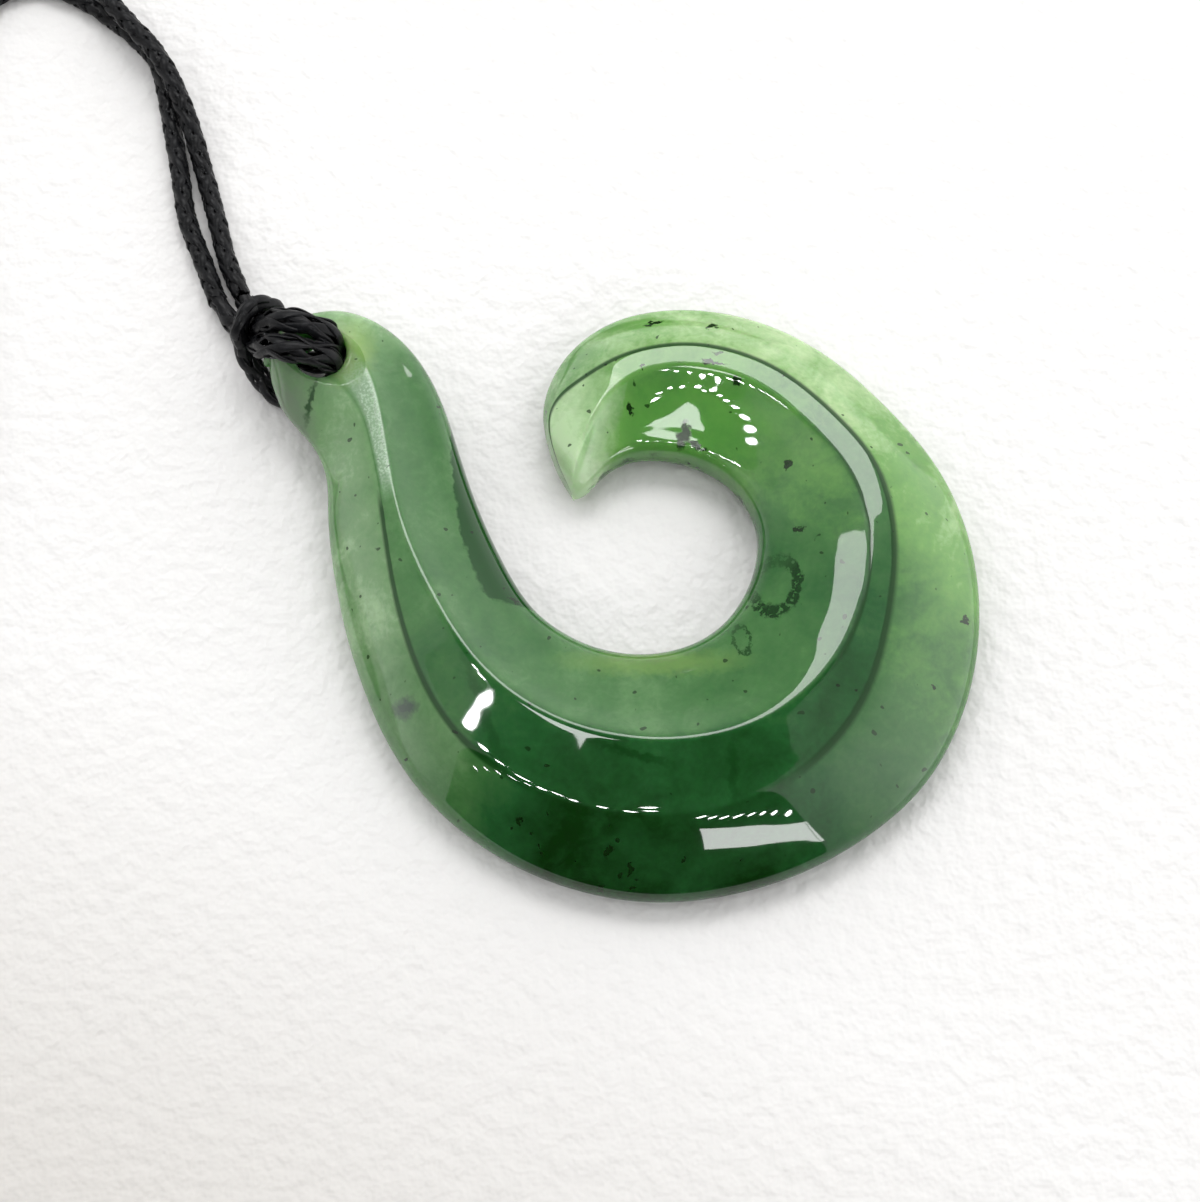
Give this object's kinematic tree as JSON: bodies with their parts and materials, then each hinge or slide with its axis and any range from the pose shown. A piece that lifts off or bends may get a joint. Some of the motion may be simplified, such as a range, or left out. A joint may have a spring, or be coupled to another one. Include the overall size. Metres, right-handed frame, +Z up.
{
  "type": "hei matau pendant",
  "caption": "Polished green stone fish-hook pendant with a raised crest, hitched through its cord hole to a black braided neck cord that is joined by a knot.",
  "frame": {"origin": "centre of the hook's own box, on the surface that it lies on", "axes": "+X across the hook to the right, away from the cord hole; +Y towards the head and the point; +Z up out of the carved face"},
  "size_m": [0.1032, 0.1076, 0.0078],
  "materials": {
    "nephrite": "high polish, translucent green",
    "cord": "waxed braid"
  },
  "bodies": {
    "root": {"hook": "nephrite", "hitch": "cord", "neck_cord_left": "cord", "neck_cord_right": "cord", "closing_knot": "cord"}
  },
  "joints": []
}
